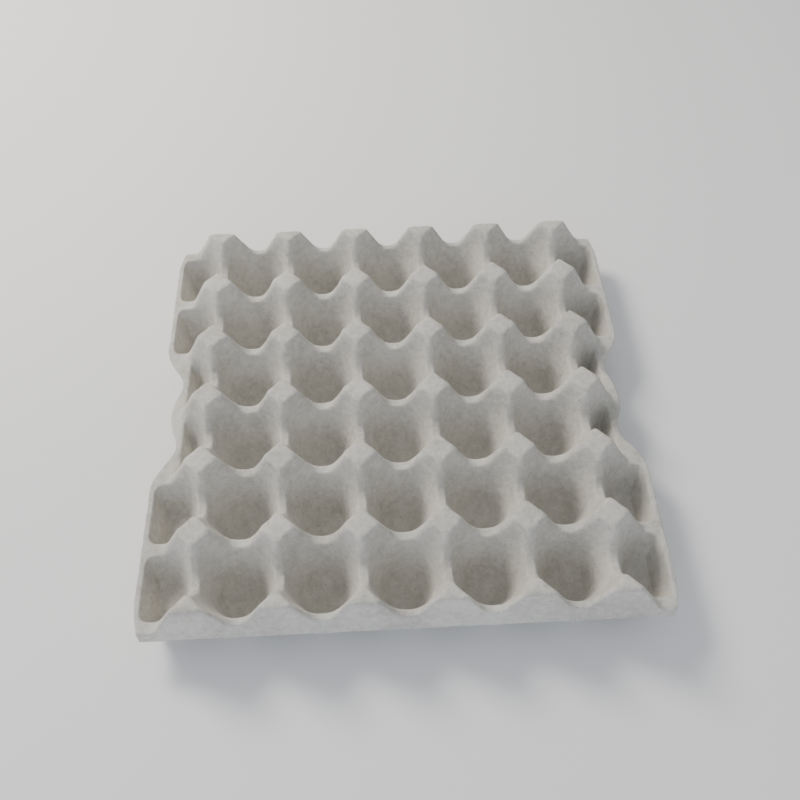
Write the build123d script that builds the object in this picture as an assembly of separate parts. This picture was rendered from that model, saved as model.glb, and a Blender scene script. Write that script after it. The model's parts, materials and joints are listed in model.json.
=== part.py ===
from build123d import *
import math
import os

# Moulded-pulp tray for thirty eggs, in millimetres. The origin is the middle of the tray,
# on the surface that its cups stand on. +Z is up, and the rows of five cups run along X.
# The sheet has one thickness everywhere: its upper and lower faces are the same forms,
# built twice, the lower ones set back by the wall.

# Overall sizes
pitch = 46.5            # from one egg to the next, both ways
columns = 5             # cups along X
rows = 6                # cups along Y
tray_height = 48.0      # from the underside of the cups to the tops of the posts
wall = 2.0              # thickness of the pulp sheet

# Cups, and the posts and ridges between them
draft = 17.5            # slope of cup walls and post flanks, degrees from the vertical
cup_floor_bend = 6.0    # radius between a cup's wall and its floor
ridge_height = 30.0     # top of the ridge between two neighbouring cups
ridge_thickness = 5.0   # flat top of that ridge, across
post_width = 14.5       # across the flat sides of a post's top
post_corner = 3.0       # radius of a post's upright corners
post_edge = 1.5         # radius around a post's top

# Front and back skirts, measured out from the middle of the last posts
skirt_bottom = 19.0     # height of the skirt's lower edge
skirt_reach = 4.5       # lower edge
post_face_reach = 0.5   # top of a half post's outer face
ridge_face_reach = 1.2  # top of the skirt between two half posts

# Left and right flanges, measured out from the middle of the last posts
flange_height = 27.0    # top of the flange
flange_reach = 33.5     # edge of the flange
flange_lip = 3.5        # flat strip between a pocket and the edge
flange_corner = 10.0    # radius of its corners
pocket_floor = 6.0      # top of a side pocket's floor
pocket_draft = 14.0     # slope of a pocket's outer wall, degrees from the vertical
flange_web = 8.0        # how far the ridge's block runs out under the posts

# Two finger notches in each flange, either side of its middle
notch_reach = 20.5      # edge at the bottom of a notch
bulge_reach = 26.5      # edge between the two notches
notch_flat = 8.0        # straight bottom of a notch
notch_rise = 19.0       # run from a notch's bottom out to the full flange
bulge_rise = 11.0       # run from a notch's bottom out to the bulge
notch_round = 5.0       # radius of the notch's corners
notch_pocket_floor = 12.0

# Derived sizes
slope = math.tan(math.radians(draft))
post_x = columns * pitch / 2
post_y = rows * pitch / 2
half_width = post_x + flange_reach
half_depth = post_y + skirt_reach
cup_radius = (pitch - ridge_thickness) / 2 + slope * (tray_height - ridge_height)
clear = 10.0            # how far a cutting form runs past what it cuts

cup_lines_x = [(i - (columns - 1) / 2) * pitch for i in range(columns)]
cup_lines_y = [(j - (rows - 1) / 2) * pitch for j in range(rows)]
post_lines_x = [(i - columns / 2) * pitch for i in range(columns + 1)]
post_lines_y = [(j - rows / 2) * pitch for j in range(rows + 1)]


def level(setback, angle):
    """A setback measured square to a sloping wall, as a level distance."""
    return setback / math.cos(math.radians(angle))


def cup_form(floor, setback):
    """The space in a cup, or with a setback the cup's outside, as a solid of revolution."""
    low = floor - setback
    high = tray_height + clear
    low_radius = cup_radius - slope * (tray_height - low) + level(setback, draft)
    high_radius = cup_radius + slope * clear + level(setback, draft)
    outline = Polyline((0, low), (low_radius, low), (high_radius, high), (0, high), close=True)
    section = make_face(Plane.XZ * outline)
    bend = section.vertices().sort_by(Axis.Z)[:2].sort_by(Axis.X)[-1]
    return revolve(fillet(bend, cup_floor_bend + setback), Axis.Z)


def pocket_form(row, setback):
    """The space in a side pocket: part of a cup, closed outwards by a sloping wall."""
    y = cup_lines_y[row]
    beside_notch = abs(y) < pitch
    floor = notch_pocket_floor if beside_notch else pocket_floor
    edge = notch_reach if beside_notch else flange_reach
    wall_x = post_x + edge - flange_lip + level(setback, pocket_draft)
    grow = math.tan(math.radians(pocket_draft))
    cup = Pos(post_x + pitch / 2, y, 0) * cup_form(floor, setback)
    bottom = -clear
    top = tray_height + 2 * clear
    low_x = wall_x - grow * (flange_height - bottom)
    high_x = wall_x + grow * (top - flange_height)
    low = Pos(low_x / 2, y, bottom) * Rectangle(low_x, 2 * pitch)
    high = Pos(high_x / 2, y, top) * Rectangle(high_x, 2 * pitch)
    return cup & loft([low, high], ruled=True)


def all_cups(setback):
    """Every cup and side pocket, in place."""
    cup = cup_form(wall, setback)
    cups = [Pos(x, y, 0) * cup for x in cup_lines_x for y in cup_lines_y]
    pockets = [pocket_form(row, setback) for row in range(rows)]
    return cups + pockets + [mirror(pocket, Plane.YZ) for pocket in pockets]


def post_form(setback):
    """A post: a square on its corner, widening downwards."""
    top = tray_height - setback
    height = top + clear
    top_width = post_width + 2 * slope * setback - 2 * level(setback, draft)
    base_width = top_width + 2 * slope * height
    base = Rot(0, 0, 45) * Rectangle(base_width, base_width)
    post = Pos(0, 0, -clear) * extrude(base, height, taper=draft)
    upright = [edge for edge in post.edges() if edge.length > height]
    post = fillet(upright, post_corner - setback / 2)
    return fillet(post.faces().sort_by(Axis.Z)[-1].edges(), post_edge)


def skirt_block(top, top_reach, setback):
    """A block whose front and back ends lean outwards, from their top down to the skirt."""
    lean = (skirt_reach - top_reach) / (top - skirt_bottom)

    def section(z):
        end = post_y + top_reach + lean * (top - z) - setback * math.hypot(1, lean)
        return Pos(0, 0, z) * Rectangle(2 * (half_width + clear), 2 * end)

    return loft([section(-clear), section(top - setback)], ruled=True)


def flange_outline():
    """The tray's edge seen from above, with two finger notches in each flange."""
    near = (pitch - notch_flat) / 2
    far = (pitch + notch_flat) / 2
    quarter = [
        (post_x + bulge_reach, near - bulge_rise),
        (post_x + notch_reach, near),
        (post_x + notch_reach, far),
        (half_width, far + notch_rise),
    ]
    right = [(x, -y) for x, y in reversed(quarter)] + quarter
    right = [(half_width, -half_depth)] + right + [(half_width, half_depth)]
    left = [(-x, y) for x, y in reversed(right)]
    face = make_face(Polyline(*right, *left, close=True))
    notch_corners = [v for v in face.vertices() if abs(v.Y) < half_depth - clear]
    face = fillet(notch_corners, notch_round)
    ends = face.vertices().group_by(Axis.Y)
    return fillet(ends[0] + ends[-1], flange_corner)


def flange_form(setback):
    """The block under the flanges' top. Set back, it keeps a skirt round the corners only."""
    outline = flange_outline()
    if setback:
        outline = offset(outline, -setback)
        outline = outline + Rectangle(2 * (half_width + clear), 2 * (half_depth - flange_corner))
    return Pos(0, 0, -clear) * extrude(outline, flange_height - setback + clear)


def block_form(setback):
    """Posts, ridges, skirts and flanges as one block, with no cups in it."""
    ridges = skirt_block(ridge_height, ridge_face_reach, setback)
    ridges = ridges & Box(2 * (post_x + flange_web), 4 * post_y, 4 * ridge_height)
    posts = [Pos(x, y, 0) * post_form(setback) for x in post_lines_x for y in post_lines_y]
    keep = skirt_block(tray_height, post_face_reach, setback)
    return (ridges + flange_form(setback) + posts) & keep


def tray():
    """The whole sheet: the block, less the space under it, less the cups and pockets."""
    below_skirt = Box(4 * half_width, 4 * half_depth, 2 * tray_height)
    below_skirt = Pos(0, 0, skirt_bottom - tray_height) * below_skirt
    under = (block_form(wall) + below_skirt) - all_cups(wall)
    return block_form(0) - under - all_cups(0)


os.makedirs("parts", exist_ok=True)
part = tray()
part.label = "tray"
export_step(part, "parts/tray.step")
print("tray", len(part.solids()), "solid", round(part.volume), "mm3", part.bounding_box().size)
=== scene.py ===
import json
import math
from functools import partial

import bmesh
import bpy
from mathutils import Matrix, Vector, noise


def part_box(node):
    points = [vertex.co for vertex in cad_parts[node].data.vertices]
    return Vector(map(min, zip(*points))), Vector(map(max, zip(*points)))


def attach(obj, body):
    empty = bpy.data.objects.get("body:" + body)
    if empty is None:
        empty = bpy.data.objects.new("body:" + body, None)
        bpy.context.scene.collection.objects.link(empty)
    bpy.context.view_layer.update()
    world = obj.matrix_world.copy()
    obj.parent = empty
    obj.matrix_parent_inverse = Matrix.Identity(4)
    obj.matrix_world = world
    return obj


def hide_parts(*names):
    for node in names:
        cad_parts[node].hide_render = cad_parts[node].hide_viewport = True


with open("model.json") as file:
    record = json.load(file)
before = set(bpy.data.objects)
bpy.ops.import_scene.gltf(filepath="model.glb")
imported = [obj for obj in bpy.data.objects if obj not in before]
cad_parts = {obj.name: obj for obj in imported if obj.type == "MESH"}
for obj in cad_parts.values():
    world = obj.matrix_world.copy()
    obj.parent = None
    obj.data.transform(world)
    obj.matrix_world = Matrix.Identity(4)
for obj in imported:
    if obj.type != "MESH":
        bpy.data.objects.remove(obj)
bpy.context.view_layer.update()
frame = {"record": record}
mm = 0.001
touching = 0.1 * mm              # heights and edges this near each other are the same
weld = 0.05 * mm                 # points this near each other become one


def cupLines(axis):
    # where the lines of cups lie along one axis, from the cups that the frame states
    centres = [(box[0][axis] + box[1][axis]) / 2 for box in cupBoxes]
    return sorted({round(centre, 5) for centre in centres})


cupBoxes = [opening["box_m"] for opening in frame["record"]["physics"]["openings"]]
cupsX, cupsY = cupLines(0), cupLines(1)
trayLow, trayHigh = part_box("tray")
pitch = cupsX[1] - cupsX[0]
half = pitch / 2
postsX = [x - half for x in cupsX] + [cupsX[-1] + half]
postsY = [y - half for y in cupsY] + [cupsY[-1] + half]

trayForm = {
    "columns": 24,                 # points round a cup; the columns counted below go with it
    "wall": 2.0 * mm,
    "draft": math.radians(17.5),
    "ridge": 30.0 * mm,            # top of the ridge between two cups
    "ridgeTop": 5.0 * mm,          # its flat top, across
    "ridgeRings": (0.35, 0.7, 1),  # shares of the way from a cup's rim to the ridge's middle
    "brow": 1.8 * mm,              # how far under its rim a cup's wall begins to round
    "bend": 6.0 * mm,              # radius between a cup's wall and floor
    "bendMiddle": (0.14, 0.19),    # in from the wall and up, as shares of that radius
    "postWidth": 14.5 * mm,
    "postSoftness": 1.6 * mm,      # how far down a post's flank its top edge is rounded
    "tipCut": 1.8 * mm,            # how much of a post's sharp corner is rounded off
    "tipShare": (1.1, 0.3),        # shares of that cut on the shoulder and on the border
    "flankRound": 0.7,             # how far a post's flank follows the cup: 0 flat, 1 round
    "crease": 0.9,
    "creaseWidth": 1.6 * mm,
}
flangeForm = {
    "top": 27.0 * mm,
    "reach": trayHigh.x - postsX[-1],
    "lip": 3.5 * mm,
    "draft": math.radians(14.0),
    "floor": 6.0 * mm,
    "corner": (3.2 * mm, 1.6 * mm),  # how far the corner points are drawn in, along X and Y
    "notchReach": 20.5 * mm,
    "bulgeReach": 26.5 * mm,
    "notchFlat": 4.0 * mm,         # half the straight bottom of a finger notch
    "bulgeRise": 11.0 * mm,
    "notchFloor": 12.0 * mm,
    "rings": (1, 0.65, 0.3),       # border, crown and shoulder: shares of the way out
    "cornerColumn": 3,             # columns below this follow the flange's edge
    "postColumn": 8,               # columns from this one on face the posts
    "postGap": 0.5 * mm,           # where the ridge between two pockets starts off its post
    "widestFlat": -0.98,           # cosine of the widest turn that a pocket's flat takes up
}
step = 2 * math.pi / trayForm["columns"]
slope = math.tan(trayForm["draft"])
cupTopRadius = (pitch - trayForm["ridgeTop"]) / 2 + slope * (trayHigh.z - trayForm["ridge"])


def selectOnly(*pieces):
    bpy.ops.object.select_all(action="DESELECT")
    for piece in pieces:
        piece.select_set(True)
    bpy.context.view_layer.objects.active = pieces[0]


def selectEdges(piece, wanted):
    # in edit mode: only the edges that the test accepts
    bpy.ops.mesh.select_mode(type="EDGE")
    bpy.ops.mesh.select_all(action="DESELECT")
    cage = bmesh.from_edit_mesh(piece.data)
    for edge in cage.edges:
        edge.select_set(wanted(edge))
    cage.select_flush_mode()
    bmesh.update_edit_mesh(piece.data)


def cupRadius(height, setback):
    return cupTopRadius - slope * (trayHigh.z - height) + setback / math.cos(trayForm["draft"])


def postReach(height, setback):
    # from a post's middle to its corner, at a height
    flat = trayForm["postWidth"] / 2 + slope * (trayHigh.z - height)
    return math.sqrt(2) * (flat - setback / math.cos(trayForm["draft"]))


def cupSection(floor, rim, setback):
    # radius and height of each ring, from the rim down the wall and round the bend to the floor
    low = floor - setback
    bend = trayForm["bend"] + setback
    inward, upward = trayForm["bendMiddle"]
    cornerRadius = cupRadius(low, setback)
    cut = bend * math.tan((math.pi / 2 - trayForm["draft"]) / 2)
    foot = low + cut * math.cos(trayForm["draft"])
    middle = foot + (rim - foot) / 2
    brow = rim - trayForm["brow"]
    return [
        (cupRadius(rim, setback), rim),
        (cupRadius(brow, setback), brow),
        (cupRadius(middle, setback), middle),
        (cupRadius(foot, setback), foot),
        (cornerRadius - inward * bend, low + upward * bend),
        (cornerRadius - cut, low),
    ]


def blankCell():
    # one cell of the sheet: a cup, with a quarter of the post at each of its corners
    # its rings come from a circle extruded inwards, and are put in place cell by cell
    radii = [24, 21, 18, 15, 12, 9, 6, 3, 2]
    bpy.ops.object.select_all(action="DESELECT")
    bpy.ops.mesh.primitive_circle_add(vertices=trayForm["columns"], radius=radii[0])
    cell = bpy.context.object
    cell.name = "cell"
    bpy.ops.object.mode_set(mode="EDIT")
    bpy.ops.mesh.select_all(action="SELECT")
    for outer, inner in zip(radii, radii[1:]):
        bpy.ops.mesh.extrude_edges_move()
        shrink = inner / outer
        bpy.ops.transform.resize(value=(shrink, shrink, 1))
    bpy.ops.mesh.extrude_edges_move()
    bpy.ops.mesh.merge(type="CENTER")
    bpy.ops.object.mode_set(mode="OBJECT")
    return cell, radii


def flangeEdge(y):
    # how far the flange's edge stands out from the last posts, with its two finger notches
    away = abs(y)
    low = half - flangeForm["notchFlat"]
    high = half + flangeForm["notchFlat"]
    notch = flangeForm["notchReach"]
    if away > high:
        share = min((away - high) / (pitch - high), 1)
        return notch + share * (flangeForm["reach"] - notch)
    share = min(max((low - away) / flangeForm["bulgeRise"], 0), 1)
    return notch + share * (flangeForm["bulgeReach"] - notch)


def ridgePoints(turn, setback):
    ridge = trayForm["ridge"] - setback
    near = cupRadius(ridge, setback)
    start = Vector((near * math.cos(turn), near * math.sin(turn), ridge))
    end = Vector((half, half * math.tan(turn), ridge))
    return [start.lerp(end, share) for share in trayForm["ridgeRings"]]


def postTipPoints(setback):
    # beside a post's corner
    top = trayHigh.z - setback
    shoulder = top - trayForm["postSoftness"]
    crownReach = half - postReach(top, setback)
    shoulderReach = half - postReach(shoulder, setback)
    cut = trayForm["tipCut"]
    shoulderCut, borderCut = (share * cut for share in trayForm["tipShare"])
    return [
        Vector((half - shoulderCut, shoulderReach + shoulderCut, shoulder)),
        Vector((half - cut, crownReach + cut, top)),
        Vector((half, crownReach + borderCut, top)),
    ]


def postFlatPoints(setback):
    top = trayHigh.z - setback
    follow = trayForm["flankRound"]
    points = []
    for height in (top - trayForm["postSoftness"], top):
        flat = (pitch - postReach(height, setback)) / 2
        rounded = cupRadius(height, setback) / math.sqrt(2)
        side = max(flat, follow * rounded + (1 - follow) * flat)
        points.append(Vector((side, side, height)))
    points.append(Vector((half, half, top)))
    return points


def shoulderPoints(angle, setback):
    # the three outer rings of a cup's cell in one direction: shoulder, crown and border
    quarterTurn = math.pi / 2
    turn = angle % quarterTurn
    mirrored = turn > quarterTurn / 2 + step / 4
    if mirrored:
        turn = quarterTurn - turn
    column = round(turn / step)
    if column < 2:
        points = ridgePoints(turn, setback)
    elif column == 2:
        points = postTipPoints(setback)
    else:
        points = postFlatPoints(setback)
    if mirrored:
        points = [Vector((p.y, p.x, p.z)) for p in points]
    quarter = Matrix.Rotation(angle // quarterTurn * quarterTurn, 3, "Z")
    return [quarter @ p for p in points]


def cupPoint(ring, angle, setback):
    # ring 0 is the border, ring 8 the floor's edge, ring 9 the middle of the floor
    if ring == 9:
        return Vector((0, 0, trayForm["wall"] - setback))
    if ring < 3:
        return shoulderPoints(angle, setback)[2 - ring]
    rim = trayForm["ridge"] - setback
    radius, height = cupSection(trayForm["wall"], rim, setback)[ring - 3]
    return Vector((radius * math.cos(angle), radius * math.sin(angle), height))


def pocketPoint(ring, angle, row, setback):
    # the same cell beside the last posts: its outer half is flattened against the flange's wall
    y = cupsY[row]
    inNotch = abs(y) < pitch
    turn = math.atan2(math.sin(angle), math.cos(angle))
    column = round(abs(turn) / step)
    onPosts = column >= flangeForm["postColumn"]
    floor = flangeForm["notchFloor"] if inNotch else flangeForm["floor"]
    edge = flangeForm["notchReach"] if inNotch else flangeForm["reach"]
    flangeTop = flangeForm["top"] - setback
    rim = trayForm["ridge"] - setback if onPosts else flangeTop

    def wallX(height):
        face = edge - flangeForm["lip"] - half + setback / math.cos(flangeForm["draft"])
        return face - math.tan(flangeForm["draft"]) * (flangeForm["top"] - height)

    if ring == 9:
        radius, height = cupSection(floor, rim, setback)[-1]
        return Vector(((min(wallX(height), radius) - radius) / 2, 0, height))
    if ring >= 3:
        radius, height = cupSection(floor, rim, setback)[ring - 3]
        limit = wallX(height)
        if radius * math.cos(turn) < limit:
            return Vector((radius * math.cos(turn), radius * math.sin(turn), height))
        meet = math.acos(max(limit / radius, flangeForm["widestFlat"]))
        return Vector((limit, radius * math.sin(meet) * turn / meet, height))
    if onPosts:
        return shoulderPoints(angle, setback)[2 - ring]
    side = 1 if turn >= 0 else -1
    cornerColumn = flangeForm["cornerColumn"]
    if column >= cornerColumn:                  # along the ridge between two pockets
        lastColumn = flangeForm["postColumn"] - 1
        inner = postReach(flangeTop, setback) - half + flangeForm["postGap"]
        outer = flangeEdge(y + side * half) - half
        x = inner + (outer - inner) * (lastColumn - column) / (lastColumn - cornerColumn)
        border = Vector((x, side * half, flangeTop))
    else:                                       # along the flange's edge
        away = side * half * math.tan(column * step)
        border = Vector((flangeEdge(y + away) - half, away, flangeTop))
    start = pocketPoint(3, angle, row, setback)
    return start.lerp(border, flangeForm["rings"][ring])


def placeCell(blank, radii, centre, point, outward):
    # a copy of the blank, each point moved to its place; outward is -1 on the left flange
    cell = blank.copy()
    cell.data = blank.data.copy()
    bpy.context.collection.objects.link(cell)
    for vertex in cell.data.vertices:
        distance = vertex.co.xy.length
        ring = 9 if distance < 1 else min(range(9), key=lambda i: abs(radii[i] - distance))
        angle = round(math.atan2(vertex.co.y, vertex.co.x) / step) * step
        place = point(ring, angle % (2 * math.pi))
        vertex.co = Vector((place.x * outward, place.y, place.z)) + centre
    return cell


def layCells(blank, radii, setback):
    # every cup, then the row of pockets on each side, welded into one sheet
    cells = []
    for x in cupsX:
        for y in cupsY:
            point = partial(cupPoint, setback=setback)
            cells.append(placeCell(blank, radii, Vector((x, y, 0)), point, 1))
    for row, y in enumerate(cupsY):
        for outward in (1, -1):
            centre = Vector((outward * (postsX[-1] + half), y, 0))
            point = partial(pocketPoint, row=row, setback=setback)
            cells.append(placeCell(blank, radii, centre, point, outward))
    selectOnly(*cells)
    bpy.ops.object.join()
    sheet = bpy.context.object
    bpy.ops.object.mode_set(mode="EDIT")
    bpy.ops.mesh.select_all(action="SELECT")
    bpy.ops.mesh.remove_doubles(threshold=weld)
    bpy.ops.object.mode_set(mode="OBJECT")
    return sheet


skirtForm = {
    "bottom": 19.0 * mm,
    "reach": trayHigh.y - postsY[-1],
    "postReach": 0.5 * mm,       # a half post's face at its top
    "ridgeReach": 1.2 * mm,      # the skirt's face under a ridge
    "steps": (0.07, 0.5, 0.93, 1.0),
    "tipFrom": 3.0 * mm,         # a post's border points further off than this are its tips
    "tipSpread": 5.5 * mm,       # how far a half post's face widens to its foot
    "ridgeSpread": 1.6 * mm,
}


def nearestPost(x):
    return min(postsX, key=lambda post: abs(post - x))


def skirtPlace(start, share, setback):
    # from a point on the sheet's end border down the skirt's face
    side = 1 if start.y > 0 else -1
    top = trayHigh.z - setback
    ridge = trayForm["ridge"] - setback
    offPost = start.x - nearestPost(start.x)
    faceDepth = trayHigh.z - skirtForm["bottom"]
    faceLean = (skirtForm["reach"] - skirtForm["postReach"]) / faceDepth
    reach = skirtForm["postReach"] + faceLean * (trayHigh.z - start.z)
    spread = 0
    if abs(start.z - ridge) < touching:
        reach = skirtForm["ridgeReach"]
        if abs(offPost) < half - mm:
            spread = math.copysign(skirtForm["ridgeSpread"], offPost)
    elif abs(start.z - top) < touching and abs(offPost) > skirtForm["tipFrom"]:
        spread = math.copysign(skirtForm["tipSpread"], offPost)
    out = reach + share * (skirtForm["reach"] - reach) - setback
    return Vector((
        start.x + share * spread,
        side * (postsY[-1] + out),
        start.z + share * (skirtForm["bottom"] - start.z),
    ))


def addSkirts(sheet, setback):
    # the sheet's front and back borders, extruded down their faces
    end = postsY[-1]
    for side in (-1, 1):
        selectOnly(sheet)
        bpy.ops.object.mode_set(mode="EDIT")
        selectEdges(sheet, lambda edge: edge.is_boundary and all(
            abs(v.co.y - side * end) < weld for v in edge.verts))
        cage = bmesh.from_edit_mesh(sheet.data)
        layer = cage.verts.layers.float_vector.new("start")
        for v in cage.verts:
            if v.select:
                v[layer] = v.co
                v.co = skirtPlace(v[layer], 0, setback)
        bmesh.update_edit_mesh(sheet.data)
        for share in skirtForm["steps"]:
            bpy.ops.mesh.extrude_edges_move()
            cage = bmesh.from_edit_mesh(sheet.data)
            layer = cage.verts.layers.float_vector["start"]
            for v in cage.verts:
                if v.select:
                    v.co = skirtPlace(v[layer], share, setback)
            bmesh.update_edit_mesh(sheet.data)
        bpy.ops.object.mode_set(mode="OBJECT")
        sheet.data.attributes.remove(sheet.data.attributes["start"])


def roundCorners(sheet):
    inX, inY = flangeForm["corner"]
    for vertex in sheet.data.vertices:
        atSide = abs(vertex.co.x) > trayHigh.x - touching
        atEnd = abs(vertex.co.y) > postsY[-1] + touching
        if atSide and atEnd:
            vertex.co.x -= math.copysign(inX, vertex.co.x)
            vertex.co.y -= math.copysign(inY, vertex.co.y)


def modelSheet(blank, radii, setback):
    sheet = layCells(blank, radii, setback)
    addSkirts(sheet, setback)
    roundCorners(sheet)
    return sheet


def creasePosts(piece):
    # the edge round each post's top is crisper than the rest of the sheet
    top = trayHigh.z
    rim = postReach(top, 0) - trayForm["creaseWidth"]
    crease = piece.data.attributes.new("crease_edge", "FLOAT", "EDGE")
    for edge in piece.data.edges:
        a, b = (piece.data.vertices[i].co for i in edge.vertices)
        if min(a.z, b.z) < top - touching:
            continue
        middle = (a + b) / 2
        offX = min(abs(middle.x - x) for x in postsX)
        offY = min(abs(abs(middle.y) - abs(y)) for y in postsY)
        onFace = abs(middle.y) > postsY[-1] + 2 * touching
        if offX + offY > rim or onFace:
            crease.data[edge.index].value = trayForm["crease"]


roughForm = {
    "warp": 0.35 * mm,           # slow waves that drying leaves in the sheet
    "warpSize": 55.0 * mm,
    "lump": 0.16 * mm,           # soft lumps of fibre
    "lumpSize": 5.0 * mm,
    "clump": 0.07 * mm,
    "clumpSize": 2.2 * mm,
    "ragged": 0.7 * mm,          # how unevenly the mould trims the edges
    "raggedSize": 9.0 * mm,
    "fineTears": (2.7, 0.5),     # how much finer the small tears are, and their share of depth
    "skirtDepth": 1.4,           # how much deeper the skirt's edge is torn
    "flangeLift": 0.5,           # how much of a tear moves the flange's edge up or down
    "edgeWidth": 1.5 * mm,       # how far in from an edge it is torn
    "skirtWidth": 2.5 * mm,
}


def roughen(piece):
    # waves, lumps and a ragged edge, kept inside the tray's own box
    form = roughForm
    clumpOffset, warpOffset = Vector((7, 3, 1)), Vector((2, 9, 4))
    finer, share = form["fineTears"]
    skirtTop = skirtForm["bottom"] + form["skirtWidth"]
    skirtFace = postsY[-1] + form["edgeWidth"]
    moves = []
    for vertex in piece.data.vertices:
        place = vertex.co
        lump = noise.noise(place / form["lumpSize"]) * form["lump"]
        clump = noise.noise(place / form["clumpSize"] + clumpOffset) * form["clump"]
        wave = noise.noise(place / form["warpSize"] + warpOffset) * form["warp"]
        move = vertex.normal * (lump + clump) + Vector((0, 0, wave))
        along = Vector((place.x, place.y, 0)) / form["raggedSize"]
        ragged = (noise.noise(along) + share * noise.noise(finer * along)) * form["ragged"]
        atSkirt = place.z < skirtTop and abs(place.y) > skirtFace
        atFlange = abs(place.x) > postsX[-1] + flangeEdge(place.y) - form["edgeWidth"]
        if atSkirt:
            move.z += abs(ragged) * form["skirtDepth"]
        elif atFlange:
            move.x -= math.copysign(abs(ragged), place.x)
            move.z += form["flangeLift"] * ragged
        moves.append(move)
    for vertex, move in zip(piece.data.vertices, moves):
        place = vertex.co + move
        vertex.co = [min(max(c, low), high) for c, low, high in zip(place, trayLow, trayHigh)]


def pulpTray():
    # the sheet's upper and lower faces, joined round their borders, softened and roughened
    blank, radii = blankCell()
    upper = modelSheet(blank, radii, 0)
    lower = modelSheet(blank, radii, trayForm["wall"])
    bpy.data.objects.remove(blank)
    print("tray: both faces of the sheet are laid")
    selectOnly(upper, lower)
    bpy.ops.object.join()
    piece = bpy.context.object
    piece.name = "pulpTray"
    bpy.ops.object.mode_set(mode="EDIT")
    selectEdges(piece, lambda edge: edge.is_boundary)
    bpy.ops.mesh.bridge_edge_loops()
    bpy.ops.mesh.select_all(action="SELECT")
    bpy.ops.mesh.normals_make_consistent(inside=False)
    bpy.ops.object.mode_set(mode="OBJECT")
    creasePosts(piece)
    softness = piece.modifiers.new("softEdges", "SUBSURF")
    softness.levels = softness.render_levels = 1
    selectOnly(piece)
    bpy.ops.object.modifier_apply(modifier=softness.name)
    roughen(piece)
    bpy.ops.object.shade_smooth()
    print("tray:", len(piece.data.polygons), "faces")
    return piece


def fromHex(colour):
    # sRGB hex to the linear values that shaders take
    parts = [int(colour[i:i + 2], 16) / 255 for i in (1, 3, 5)]
    return [c / 12.92 if c <= 0.04045 else ((c + 0.055) / 1.055) ** 2.4 for c in parts] + [1.0]


def addNode(material, kind, settings=None, links=None, **fields):
    # one node, with its input values and what feeds them
    tree = material.node_tree
    node = tree.nodes.new(kind)
    for name, value in fields.items():
        setattr(node, name, value)
    for name, value in (settings or {}).items():
        node.inputs[name].default_value = value
    for name, source in (links or {}).items():
        tree.links.new(source, node.inputs[name])
    return node


pulpFinish = {
    "light": "#D6D3CB",          # clean fibre
    "dark": "#B9B6AE",           # thinner, damper patches
    "fleck": "#7E7A72",          # ink and bark left in recycled paper
    "fibre": "#E6E4DE",
    "patchSize": 26 * mm,
    "patchShare": 0.45,
    "mottleSize": 4.0 * mm,
    "mottleShare": 0.55,
    "toneRange": (0.36, 0.60),   # where the mottle turns fully dark and fully light
    "curlSize": 6.0 * mm,
    "curl": 4.0 * mm,            # how far the fibres wander
    "fibreSize": 3.2 * mm,       # real fibres are finer; these are as coarse as shows
    "fibreSpread": 0.018,        # how far off its middle value the noise still draws a fibre
    "fibreShow": 0.5,
    "fleckSize": 2.6 * mm,
    "fleckEdge": (0.10, 0.19),   # where in its cell a fleck begins to fade and ends
    "fleckRarity": 0.72,         # the share of cells with no fleck
    "fleckShow": 0.55,
    "fuzzSize": 0.8 * mm,
    "fuzzShare": 0.35,
    "roughness": 0.93,
    "bump": 0.55,
    "bumpDepth": 1.2 * mm,
}


def mottle(material, place):
    # light and dark patches, and the fine mottle over them; also gives that mottle for the relief
    finish = pulpFinish
    patches = addNode(material, "ShaderNodeTexNoise",
                      {"Scale": 1 / finish["patchSize"], "Detail": 3.0}, {"Vector": place})
    fine = addNode(material, "ShaderNodeTexNoise",
                   {"Scale": 1 / finish["mottleSize"], "Detail": 6.0, "Roughness": 0.65},
                   {"Vector": place})
    blend = addNode(material, "ShaderNodeMath", {1: finish["patchShare"]},
                    {0: patches.outputs["Fac"]}, operation="MULTIPLY")
    blend = addNode(material, "ShaderNodeMath", {1: finish["mottleShare"]},
                    {0: fine.outputs["Fac"], 2: blend.outputs[0]}, operation="MULTIPLY_ADD")
    ramp = addNode(material, "ShaderNodeValToRGB", None, {"Fac": blend.outputs[0]})
    tones = zip(ramp.color_ramp.elements, finish["toneRange"], ("dark", "light"))
    for element, position, colour in tones:
        element.position = position
        element.color = fromHex(finish[colour])
    return ramp.outputs["Color"], fine.outputs["Fac"]


def curled(material, place):
    # coordinates that wander, so that fibres bend
    finish = pulpFinish
    bent = addNode(material, "ShaderNodeTexNoise",
                   {"Scale": 1 / finish["curlSize"], "Detail": 1.0}, {"Vector": place})
    curl = addNode(material, "ShaderNodeVectorMath", {1: (finish["curl"],) * 3},
                   {0: bent.outputs["Color"], 2: place}, operation="MULTIPLY_ADD")
    return curl.outputs[0]


def addFibres(material, place, colour):
    # thin wandering lines, where a noise crosses its middle value
    finish = pulpFinish
    fibre = addNode(material, "ShaderNodeTexNoise",
                    {"Scale": 1 / finish["fibreSize"], "Detail": 2.0}, {"Vector": place})
    offLine = addNode(material, "ShaderNodeMath", {1: 0.5},
                      {0: fibre.outputs["Fac"]}, operation="SUBTRACT")
    offLine = addNode(material, "ShaderNodeMath", None,
                      {0: offLine.outputs[0]}, operation="ABSOLUTE")
    line = addNode(material, "ShaderNodeMapRange",
                   {1: 0.0, 2: finish["fibreSpread"], 3: finish["fibreShow"], 4: 0.0},
                   {0: offLine.outputs[0]})
    fibred = addNode(material, "ShaderNodeMix", {7: fromHex(finish["fibre"])},
                     {0: line.outputs[0], 6: colour}, data_type="RGBA")
    return fibred.outputs[2]


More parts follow.
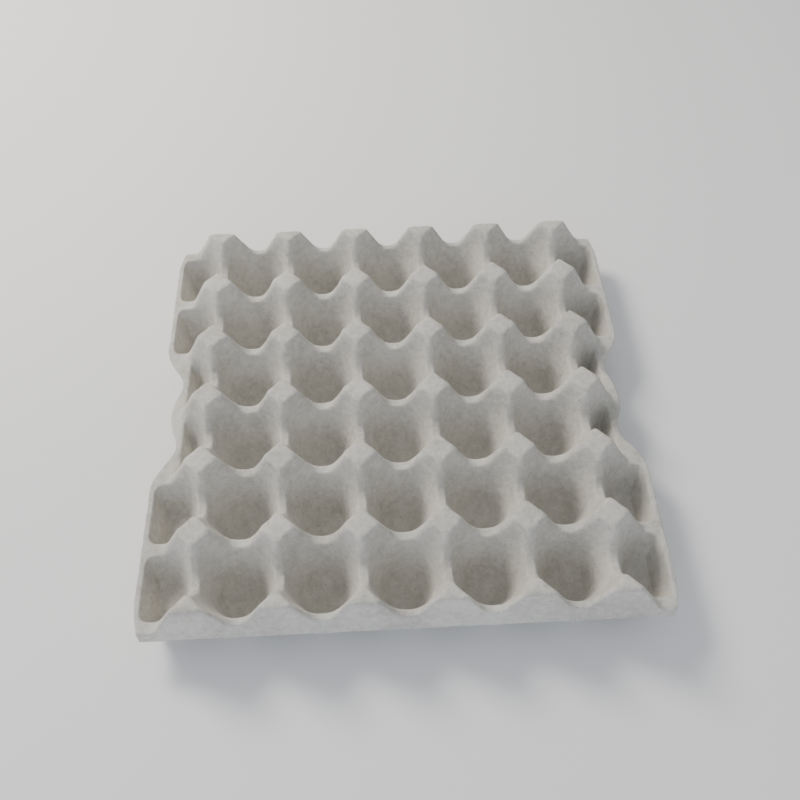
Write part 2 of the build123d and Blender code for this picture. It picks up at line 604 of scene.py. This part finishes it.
def addFlecks(material, place, colour):
    # a few small dark grains
    finish = pulpFinish
    fadeFrom, fadeTo = finish["fleckEdge"]
    cells = addNode(material, "ShaderNodeTexVoronoi",
                    {"Scale": 1 / finish["fleckSize"]}, {"Vector": place})
    grain = addNode(material, "ShaderNodeMapRange", {1: fadeFrom, 2: fadeTo, 3: 1.0, 4: 0.0},
                    {0: cells.outputs["Distance"]})
    draw = addNode(material, "ShaderNodeSeparateColor", None, {0: cells.outputs["Color"]})
    chosen = addNode(material, "ShaderNodeMath", {1: finish["fleckRarity"]},
                     {0: draw.outputs[0]}, operation="GREATER_THAN")
    fleck = addNode(material, "ShaderNodeMath", None,
                    {0: grain.outputs[0], 1: chosen.outputs[0]}, operation="MULTIPLY")
    fleck = addNode(material, "ShaderNodeMath", {1: finish["fleckShow"]},
                    {0: fleck.outputs[0]}, operation="MULTIPLY")
    flecked = addNode(material, "ShaderNodeMix", {7: fromHex(finish["fleck"])},
                      {0: fleck.outputs[0], 6: colour}, data_type="RGBA")
    return flecked.outputs[2]


def pulpRelief(material, place, lumps):
    # lumps of fibre, and the fine fuzz over them
    finish = pulpFinish
    fuzz = addNode(material, "ShaderNodeTexNoise",
                   {"Scale": 1 / finish["fuzzSize"], "Detail": 4.0, "Roughness": 0.7},
                   {"Vector": place})
    relief = addNode(material, "ShaderNodeMath", {1: finish["fuzzShare"]},
                     {0: fuzz.outputs["Fac"], 2: lumps}, operation="MULTIPLY_ADD")
    bump = addNode(material, "ShaderNodeBump",
                   {"Strength": finish["bump"], "Distance": finish["bumpDepth"]},
                   {"Height": relief.outputs[0]})
    return bump.outputs["Normal"]


def mouldedPulp():
    # grey recycled-paper pulp, vacuum-formed on a wire screen: matt, fuzzy, slightly lumpy
    material = bpy.data.materials.new("mouldedGreyPulp")
    material.use_nodes = True
    tree = material.node_tree
    shader = tree.nodes["Principled BSDF"]
    shader.inputs["Roughness"].default_value = pulpFinish["roughness"]
    shader.inputs["Specular IOR Level"].default_value = 0.25
    shader.inputs["IOR"].default_value = 1.47
    place = addNode(material, "ShaderNodeTexCoord").outputs["Object"]
    colour, lumps = mottle(material, place)
    wandering = curled(material, place)
    colour = addFibres(material, wandering, colour)
    colour = addFlecks(material, wandering, colour)
    tree.links.new(colour, shader.inputs["Base Color"])
    tree.links.new(pulpRelief(material, wandering, lumps), shader.inputs["Normal"])
    return material


piece = pulpTray()
piece.data.materials.clear()
piece.data.materials.append(mouldedPulp())
print("tray: pulp material is on")
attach(piece, "root")
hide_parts("tray")


def studioMaterial(name, colour):
    material = bpy.data.materials.new(name)
    material.use_nodes = True
    shader = material.node_tree.nodes["Principled BSDF"]
    shader.inputs["Base Color"].default_value = fromHex(colour)
    shader.inputs["Roughness"].default_value = 0.9
    return material


bpy.ops.object.select_all(action="DESELECT")
bpy.ops.mesh.primitive_plane_add(size=12, location=(0, 0, trayLow.z))
floor = bpy.context.object
floor.name = "floor"
floor.data.materials.append(studioMaterial("paperFloor", "#FAFAFA"))

cameraSetup = {
    "place": Vector((-9.1, -319.6, 479.9)) * mm,
    "yaw": math.radians(2.04),
    "down": math.radians(54.4),
    "roll": math.radians(0.84),
    "lens": 39.375,
}
bpy.ops.object.camera_add(location=cameraSetup["place"])
camera = bpy.context.object
turn = Matrix.Rotation(-cameraSetup["yaw"], 4, "Z")
turn = turn @ Matrix.Rotation(math.pi / 2 - cameraSetup["down"], 4, "X")
turn = turn @ Matrix.Rotation(-cameraSetup["roll"], 4, "Z")
camera.matrix_world = Matrix.Translation(cameraSetup["place"]) @ turn
camera.data.lens = cameraSetup["lens"]
camera.data.clip_start = 0.01
bpy.context.scene.camera = camera

lights = {
    # place in metres, watts, size, colour
    "keyLight": ((-0.75, 0.65, 0.95), 17, 0.45, "#FFF8EE"),
    "frontFill": ((-0.25, -1.3, 0.55), 7, 1.3, "#DDE8FF"),
}
for name, (place, watts, size, colour) in lights.items():
    bpy.ops.object.light_add(type="AREA", location=place)
    light = bpy.context.object
    light.name = name
    light.data.energy = watts
    light.data.size = size
    light.data.color = fromHex(colour)[:3]
    light.rotation_euler = (-light.location).to_track_quat("-Z", "Y").to_euler()
room = bpy.data.worlds.new("paleRoom")
room.use_nodes = True
room.node_tree.nodes["Background"].inputs["Color"].default_value = fromHex("#F1F4F8")
room.node_tree.nodes["Background"].inputs["Strength"].default_value = 0.55
bpy.context.scene.world = room
print("stage: floor, lights and camera are set")
